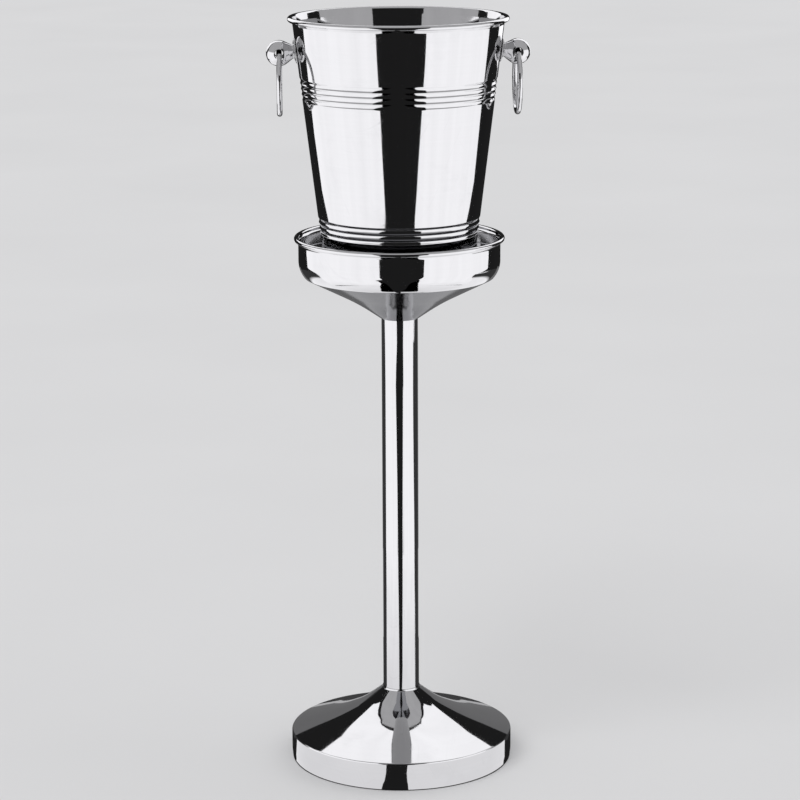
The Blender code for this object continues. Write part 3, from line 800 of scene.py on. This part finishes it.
def cast_iron():
    """Cast iron under thin black paint, rough from the sand, with bare grey high spots."""
    material, tree, shader = new_material("cast_iron")
    place = put(tree, "ShaderNodeTexCoord").outputs["Object"]
    sand = noise(tree, place, 950, 4, 0.6)
    lumps = noise(tree, place, 120, 3)
    bare = spread(tree, noise(tree, place, 300, 3, 0.6), 0.60, 0.70, 0.0, 1.0)
    colour = mix_colour(tree, bare, (0.035, 0.035, 0.038), (0.17, 0.165, 0.16))
    normal = bumped(tree, lumps, 0.0006)
    normal = bumped(tree, sand, 0.00022, normal)
    feed(
        tree,
        shader,
        {
            "Base Color": colour,
            "Metallic": maths(tree, "MULTIPLY", bare, 0.8),
            "Roughness": spread(tree, sand, 0.3, 0.7, 0.5, 0.8),
            "Normal": normal,
        },
    )
    return material


def cast_aluminium():
    """Cast aluminium with turning lines and small open pores."""
    material, tree, shader = new_material("cast_aluminium")
    place, around, across = lathe_places(tree)
    rings = lathe_noise(tree, around, across, 2, 1800, detail=3.0)
    pores = spread(tree, noise(tree, place, 1400, 1), 0.70, 0.78, 0.0, 1.0)
    stain = noise(tree, place, 90, 3)
    stain = spread(tree, stain, 0.35, 0.65, 0.0, 1.0)
    colour = mix_colour(tree, stain, (0.74, 0.75, 0.76), (0.60, 0.61, 0.62))
    normal = bumped(tree, rings, 0.00002)
    normal = bumped(tree, pores, -0.0001, normal)
    gloss = maths(tree, "MULTIPLY_ADD", pores, 0.3, spread(tree, rings, 0.3, 0.7, 0.3, 0.46))
    feed(tree, shader, {"Base Color": colour, "Metallic": 1.0, "Roughness": gloss, "Normal": normal})
    return material


def black_rubber():
    """Moulded rubber: matt, finely grained, with pale dust in its low spots."""
    material, tree, shader = new_material("black_rubber")
    place = put(tree, "ShaderNodeTexCoord").outputs["Object"]
    grain = noise(tree, place, 1600, 3, 0.6)
    dust = spread(tree, noise(tree, place, 45, 5, 0.65), 0.5, 0.75, 0.0, 0.5)
    colour = mix_colour(tree, dust, (0.018, 0.018, 0.02), (0.10, 0.095, 0.09))
    feed(
        tree,
        shader,
        {
            "Base Color": colour,
            "Roughness": spread(tree, grain, 0.3, 0.7, 0.62, 0.88),
            "Normal": bumped(tree, grain, 0.00006),
        },
    )
    return material


def silicone():
    """Milky silicone, a little see-through, with a soft uneven skin."""
    material, tree, shader = new_material("silicone")
    place = put(tree, "ShaderNodeTexCoord").outputs["Object"]
    skin = noise(tree, place, 700, 3)
    cloud = noise(tree, place, 150, 3)
    cloud = spread(tree, cloud, 0.35, 0.65, 0.0, 1.0)
    colour = mix_colour(tree, cloud, (0.78, 0.79, 0.78), (0.66, 0.67, 0.66))
    feed(
        tree,
        shader,
        {
            "Base Color": colour,
            "Roughness": spread(tree, skin, 0.3, 0.7, 0.36, 0.52),
            "Transmission Weight": 0.25,
            "Subsurface Weight": 0.2,
            "Subsurface Scale": 0.002,
            "Normal": bumped(tree, skin, 0.00002),
        },
    )
    return material


# ---------------------------------------------------------------- studio

TENT_RADIUS = 0.8
TENT_HEIGHT = 1.7
CARD_STEPS = 48
FLOOR_RADIUS = 30
FLOOR_CARD_HEIGHT = 0.0004
CLOTH_GAP = 0.04
STUDIO_TURN = -5
STUDIO_POWER = 1.44  # brings polished steel up to white
CLOTH_COLOUR = (0.985, 0.98, 1.0, 1)
DIM_FOLD = 0.965
BRIGHT_FOLD = 1.03
NEAR_RADIUS = 0.12
WORLD_POWER = 0.62

# Each side's soft box, from the floor up: height, then the angles of its near edge and its far edge
LEFT_BOX = [
    (0.0, -19, -103),
    (0.05, -19.5, -102.5),
    (0.1, -20, -102),
    (0.17, -21, -101),
    (0.23, -23.5, -101),
    (0.26, -20, -102),
    (0.29, -16, -103),
    (0.33, -17, -107),
    (0.38, -18, -116),
    (0.42, -18.5, -122),
    (0.5, -20.5, -124),
    (0.6, -21.5, -120),
    (0.85, -25, -104),
]
RIGHT_BOX = [
    (0.0, 24.5, 102),
    (0.05, 24.5, 100),
    (0.1, 24.5, 97),
    (0.17, 24.5, 94),
    (0.23, 24.5, 93),
    (0.29, 23.5, 95),
    (0.33, 25.5, 106),
    (0.38, 27, 114),
    (0.42, 28.5, 118),
    (0.5, 31, 116),
    (0.6, 32, 115),
    (0.85, 33, 105),
]
# The strips in front of the soft boxes, which do not glow when they are seen from above
LEFT_NEAR_WALL = [
    (0.0, -13.5, -19),
    (0.05, -15, -19.5),
    (0.1, -16.5, -20),
    (0.17, -20, -21),
    (0.23, -23, -23.5),
]
RIGHT_NEAR_WALL = [
    (0.0, 15, 24.5),
    (0.05, 15.5, 24.5),
    (0.1, 17.5, 24.5),
    (0.17, 20, 24.5),
    (0.23, 21.5, 24.5),
]
# The boxes behind, higher up
LEFT_BACK_BOX = [
    (0.74, -130, -154.5),
    (0.9, -122, -157),
    (1.0, -117, -159),
    (1.15, -121, -164),
    (1.22, -124, -185),
    (1.4, -133, -185),
    (TENT_HEIGHT, -150, -185),
]
RIGHT_BACK_BOX = [
    (0.62, 140, 158.5),
    (0.75, 137, 159.5),
    (0.88, 131, 162),
    (1.0, 125, 166),
    (1.12, 125, 175),
    (1.2, 125, 175),
    (1.4, 134, 175),
    (TENT_HEIGHT, 153, 175),
]
# The grey cloth over each soft box, and the one high up in front
LEFT_CLOTH = [
    (0.85, -25, -104),
    (1.0, -27, -104),
    (1.2, -30, -112),
    (1.45, -30, -122),
    (TENT_HEIGHT, -30, -145),
]
RIGHT_CLOTH = [
    (0.85, 33, 105),
    (1.0, 34, 108),
    (1.2, 35, 118),
    (1.45, 35, 124),
    (TENT_HEIGHT, 35, 148),
]
FRONT_CLOTH = [(1.2, -30, 35), (TENT_HEIGHT, -30, 35)]
# The floor at each side, from the base out: radius, near angle, far angle
LEFT_FLOOR = [
    (0.1175, -8, -74),
    (0.14, -8, -90),
    (0.17, -8, -100),
    (0.2, -36, -102),
    (0.25, -33, -102),
    (0.33, -27, -102),
    (0.34, -50, -102),
    (0.44, -62, -102),
    (0.52, -85, -102),
    (0.56, -98, -102),
    (0.57, -22, -102),
    (TENT_RADIUS, -19, -103),
]
RIGHT_FLOOR = [
    (0.1175, 6, 72),
    (0.14, 6, 90),
    (0.17, 6, 102),
    (0.2, 41, 104),
    (0.25, 38, 104),
    (0.33, 32, 105),
    (0.34, 54, 105),
    (0.44, 66, 105),
    (0.52, 85, 105),
    (0.56, 98, 105),
    (0.57, 26, 105),
    (TENT_RADIUS, 24.5, 102),
]
# The notch in each of those, which glows only when it is seen at a low or a steep angle
LEFT_MIDDLE_FLOOR = [
    (0.33, -27, -27),
    (0.34, -27, -50),
    (0.44, -24, -62),
    (0.52, -23, -85),
    (0.56, -22, -98),
    (0.57, -22, -22),
]
RIGHT_MIDDLE_FLOOR = [
    (0.33, 32, 32),
    (0.34, 32, 54),
    (0.44, 28, 66),
    (0.52, 27, 85),
    (0.56, 26, 98),
    (0.57, 26, 26),
]
# The floor in front of those, which glows only when it is seen at a low angle
LEFT_NEAR_FLOOR = [
    (0.17, -8, -8),
    (0.2, -8.5, -36),
    (0.25, -9, -33),
    (0.33, -9.5, -27),
    (0.34, -9.5, -27),
    (0.44, -10, -24),
    (0.56, -11, -22),
    (0.57, -11, -22),
    (TENT_RADIUS, -13.5, -19),
]
RIGHT_NEAR_FLOOR = [
    (0.17, 6, 6),
    (0.2, 7, 41),
    (0.25, 9, 38),
    (0.33, 12, 32),
    (0.34, 12, 32),
    (0.44, 12.5, 28),
    (0.56, 13, 26),
    (0.57, 13, 26),
    (TENT_RADIUS, 15, 24.5),
]
# The floor behind: its sides hardly glow when they are seen at a low angle, and its middle is dim at any
LEFT_BACK_FLOOR = [(0.15, -101, -178), (0.4, -101, -178), (0.41, -101, -150), (TENT_RADIUS, -101, -150)]
RIGHT_BACK_FLOOR = [(0.15, 101, 178), (0.4, 101, 178), (0.41, 101, 150), (TENT_RADIUS, 101, 150)]
FAR_FLOOR = [(0.41, 150, 210), (TENT_RADIUS, 150, 210)]
# The low wall behind, dim in the middle, and at the sides bright only when it is seen from above
BACK_WALL = [(0, 150, 210), (0.36, 150, 210)]
LOW_WALL_HEIGHT = 0.34
LEFT_LOW_WALL = [(height, far, -150) for height, near, far in LEFT_BOX if height < LOW_WALL_HEIGHT]
RIGHT_LOW_WALL = [(height, far, 150) for height, near, far in RIGHT_BOX if height < LOW_WALL_HEIGHT]
# The ceiling: a grey middle and front, and a white edge behind
CEILING_MIDDLE = [(0.01, 0, 360), (0.64, 0, 360)]
CEILING_FRONT = [(0.64, -166, 169), (0.7, -154, 157), (TENT_RADIUS, -146, 149)]
CEILING_EDGE = [(0.7, 172, 188), (0.73, 160, 200), (0.76, 155, 206), (TENT_RADIUS, 152, 210)]
# The black cloth outside it all, wide enough to close every gap
TENT_WALL = [(0, 0, 360), (TENT_HEIGHT + 2 * CLOTH_GAP, 0, 360)]
TENT_DISC = [(0, 0, 360), (1, 0, 360)]
# Ranges of a card's slant to the rays from the metal, which is 0 where it is seen face on and 1 edge on
LOW_ANGLE = (0.46, 0.56)  # a level card: above these it is seen at a low angle
STEEP_ANGLE = (0.235, 0.265)  # a level card: below these it is seen at a steep angle
FROM_ABOVE = (0.10, 0.13)  # an upright card: above these it is seen from well above
FROM_HALF_ABOVE = (0.035, 0.05)  # an upright card: above these it is seen from a little above


def glow(name, strength, near=1.0, slant=None, shares=(1.0, 1.0), steep=0.0):
    """A glowing cloth, a little uneven. Close to the object its glow falls to the share near.

    The shares are how much of its glow shows below the slant's range and above it. The share steep is added
    where the cloth is seen at a steep angle.
    """
    material = bpy.data.materials.new(name)
    material.use_nodes = True
    tree = material.node_tree
    tree.nodes.clear()
    place = put(tree, "ShaderNodeNewGeometry").outputs["Position"]
    folds = noise(tree, scaled(tree, place, 1, 1, 0.08), 5.5, 3)
    power = strength * STUDIO_POWER
    power = spread(tree, folds, 0.35, 0.65, power * DIM_FOLD, power * BRIGHT_FOLD)
    if near < 1:
        level = scaled(tree, place, 1, 1, 0)
        radius = put(tree, "ShaderNodeVectorMath", {0: level}, operation="LENGTH").outputs["Value"]
        power = maths(tree, "MULTIPLY", power, spread(tree, radius, NEAR_RADIUS, TENT_RADIUS, near, 1.0))
    if slant:
        facing = put(tree, "ShaderNodeLayerWeight", {"Blend": 0.5}).outputs["Facing"]
        share = spread(tree, facing, *slant, *shares)
        if steep:
            share = maths(tree, "ADD", share, spread(tree, facing, *STEEP_ANGLE, steep, 0.0))
        power = maths(tree, "MULTIPLY", power, share)
    emission = put(tree, "ShaderNodeEmission", {"Color": CLOTH_COLOUR, "Strength": power})
    put(tree, "ShaderNodeOutputMaterial", {"Surface": emission.outputs[0]})
    material.cycles.emission_sampling = "NONE"
    return material


def studio_object(name, shape, material):
    """A studio piece that is seen only in reflections."""
    mesh = bpy.data.meshes.new(name)
    shape.to_mesh(mesh)
    shape.free()
    mesh.materials.append(material)
    item = bpy.data.objects.new(name, mesh)
    bpy.context.scene.collection.objects.link(item)
    item.visible_camera = False
    item.visible_diffuse = False
    item.visible_transmission = False
    item.visible_volume_scatter = False
    item.visible_shadow = False
    return item


def card(name, rows, place, material):
    """A curved card through rows of (station, near angle, far angle), each set out by place."""
    shape = bmesh.new()
    lines = []
    for station, near, far in rows:
        line = []
        for step in range(CARD_STEPS + 1):
            angle = math.radians(near + (far - near) * step / CARD_STEPS)
            line.append(shape.verts.new(place(station, angle)))
        lines.append(line)
    for low, high in zip(lines, lines[1:]):
        for step in range(CARD_STEPS):
            shape.faces.new((low[step], low[step + 1], high[step + 1], high[step]))
    return studio_object(name, shape, material)


def round_object(radius, angle, height):
    """A place in the studio. Angle 0 is close to the camera's side: the whole studio is turned a little."""
    turned = angle + math.radians(STUDIO_TURN)
    return (radius * math.sin(turned), -radius * math.cos(turned), height)


def on_tent(height, angle):
    return round_object(TENT_RADIUS, angle, height)


def behind_tent(height, angle):
    return round_object(TENT_RADIUS + CLOTH_GAP, angle, height)


def on_floor(radius, angle):
    return round_object(radius, angle, FLOOR_CARD_HEIGHT)


def under_floor(radius, angle):
    return round_object(radius, angle, FLOOR_CARD_HEIGHT / 2)


def on_ceiling(radius, angle):
    return round_object(radius, angle, TENT_HEIGHT)


def above_ceiling(radius, angle):
    return round_object(radius, angle, TENT_HEIGHT + CLOTH_GAP)


def studio():
    white = glow("soft_box", 1.0)
    card("left_soft_box", LEFT_BOX, on_tent, white)
    card("right_soft_box", RIGHT_BOX, on_tent, white)
    card("left_back_box", LEFT_BACK_BOX, on_tent, white)
    card("right_back_box", RIGHT_BACK_BOX, on_tent, white)
    card("ceiling_edge", CEILING_EDGE, on_ceiling, white)

    grey = glow("grey_cloth", 0.38)
    card("ceiling_middle", CEILING_MIDDLE, on_ceiling, grey)
    card("ceiling_front", CEILING_FRONT, on_ceiling, grey)
    card("left_cloth", LEFT_CLOTH, on_tent, grey)
    card("right_cloth", RIGHT_CLOTH, on_tent, grey)
    card("front_cloth", FRONT_CLOTH, on_tent, grey)

    floor_white = glow("bright_floor", 1.0, near=0.74)
    card("left_floor", LEFT_FLOOR, on_floor, floor_white)
    card("right_floor", RIGHT_FLOOR, on_floor, floor_white)
    low_white = glow("near_floor", 1.0, near=0.74, slant=LOW_ANGLE, shares=(0.0, 1.0))
    card("left_near_floor", LEFT_NEAR_FLOOR, on_floor, low_white)
    card("right_near_floor", RIGHT_NEAR_FLOOR, on_floor, low_white)
    middle_white = glow("middle_floor", 1.0, near=0.74, slant=LOW_ANGLE, shares=(0.0, 1.0), steep=1.0)
    card("left_middle_floor", LEFT_MIDDLE_FLOOR, on_floor, middle_white)
    card("right_middle_floor", RIGHT_MIDDLE_FLOOR, on_floor, middle_white)
    back_white = glow("back_floor", 0.9, slant=LOW_ANGLE, shares=(1.0, 0.04))
    card("left_back_floor", LEFT_BACK_FLOOR, on_floor, back_white)
    card("right_back_floor", RIGHT_BACK_FLOOR, on_floor, back_white)
    far_white = glow("far_floor", 0.9, slant=LOW_ANGLE, shares=(0.5, 0.4))
    card("far_floor", FAR_FLOOR, on_floor, far_white)
    near_wall_white = glow("near_wall", 1.0, slant=FROM_HALF_ABOVE, shares=(1.0, 0.0))
    card("left_near_wall", LEFT_NEAR_WALL, on_tent, near_wall_white)
    card("right_near_wall", RIGHT_NEAR_WALL, on_tent, near_wall_white)
    card("back_wall", BACK_WALL, on_tent, glow("dim_wall", 0.13))
    wall_white = glow("low_wall", 0.9, slant=FROM_ABOVE, shares=(0.04, 1.0))
    card("left_low_wall", LEFT_LOW_WALL, on_tent, wall_white)
    card("right_low_wall", RIGHT_LOW_WALL, on_tent, wall_white)

    black = glow("black_cloth", 0.012)
    card("tent", TENT_WALL, behind_tent, black)
    card("tent_top", TENT_DISC, above_ceiling, black)
    card("tent_floor", TENT_DISC, under_floor, black)


def floor():
    shape = bmesh.new()
    bmesh.ops.create_circle(shape, cap_ends=True, segments=96, radius=FLOOR_RADIUS)
    mesh = bpy.data.meshes.new("floor")
    shape.to_mesh(mesh)
    shape.free()
    material, tree, shader = new_material("pale_floor")
    place = put(tree, "ShaderNodeTexCoord").outputs["Object"]
    cloud = noise(tree, place, 1.7, 3)
    cloud = spread(tree, cloud, 0.3, 0.7, 0.0, 1.0)
    colour = mix_colour(tree, cloud, (0.72, 0.72, 0.73), (0.70, 0.70, 0.71))
    feed(tree, shader, {"Base Color": colour, "Roughness": 0.9, "Specular IOR Level": 0.0})
    mesh.materials.append(material)
    item = bpy.data.objects.new("floor", mesh)
    item.visible_glossy = False
    bpy.context.scene.collection.objects.link(item)


def sun(name, towards, spread_angle, power):
    data = bpy.data.lights.new(name, "SUN")
    data.angle = math.radians(spread_angle)
    data.energy = power
    item = bpy.data.objects.new(name, data)
    item.rotation_mode = "QUATERNION"
    item.rotation_quaternion = Vector(towards).to_track_quat("-Z", "Y")
    item.visible_glossy = False
    bpy.context.scene.collection.objects.link(item)


def lights():
    world = bpy.data.worlds.new("studio")
    world.use_nodes = True
    background = world.node_tree.nodes["Background"]
    background.inputs["Color"].default_value = (1, 1, 1, 1)
    background.inputs["Strength"].default_value = WORLD_POWER
    bpy.context.scene.world = world
    sun("key", towards=(0.55, 0.6, -1.0), spread_angle=40, power=0.9)
    sun("fill", towards=(-0.6, -0.4, -1.0), spread_angle=60, power=0.5)
    bpy.context.scene.view_settings.view_transform = "Standard"


# ---------------------------------------------------------------- camera

CAMERA_AZIMUTH = -2.5
CAMERA_DISTANCE = 2.881
CAMERA_HEIGHT = 1.054
CAMERA_PITCH = 12.99
CAMERA_ROLL = -0.25
CAMERA_LENS = 127.08


def camera():
    data = bpy.data.cameras.new("camera")
    data.lens = CAMERA_LENS
    data.sensor_width = 36
    data.clip_start = 0.1
    data.clip_end = 50
    item = bpy.data.objects.new("camera", data)
    azimuth = math.radians(CAMERA_AZIMUTH)
    item.location = (
        CAMERA_DISTANCE * math.sin(azimuth),
        -CAMERA_DISTANCE * math.cos(azimuth),
        CAMERA_HEIGHT,
    )
    item.rotation_mode = "QUATERNION"
    level = Matrix.Rotation(azimuth, 3, "Z") @ Matrix.Rotation(math.radians(90 - CAMERA_PITCH), 3, "X")
    item.rotation_quaternion = level.to_quaternion() @ Quaternion((0, 0, 1), math.radians(CAMERA_ROLL))
    bpy.context.scene.collection.objects.link(item)
    bpy.context.scene.camera = item


# ---------------------------------------------------------------- main


def build():
    looks = {}
    for make in (polished_steel, bright_steel, cast_iron, cast_aluminium, black_rubber, silicone):
        material = make()
        looks[material["slot"]] = material
    steel = looks["polished_steel"]
    base_cover(steel)
    bottom_plate(looks["bright_steel"])
    plate_screws(looks["bright_steel"])
    foot_ring(looks["black_rubber"])
    pole_tube(steel)
    # Brushed steel with a darker colour that paints shade inside and under the bowl.
    satin_and_painted_shade = satin_steel_and_painted_shade()
    bowl_shell(steel, satin_and_painted_shade)
    seat_pan(steel, satin_and_painted_shade)
    hidden_parts(looks)
    bucket_shell(steel)
    for side in ("left", "right"):
        rose(side, steel)
        knob(side, steel)
        ring_handle(side, steel)
        handle_fixings(side, looks)


build()
camera()
studio()
floor()
lights()
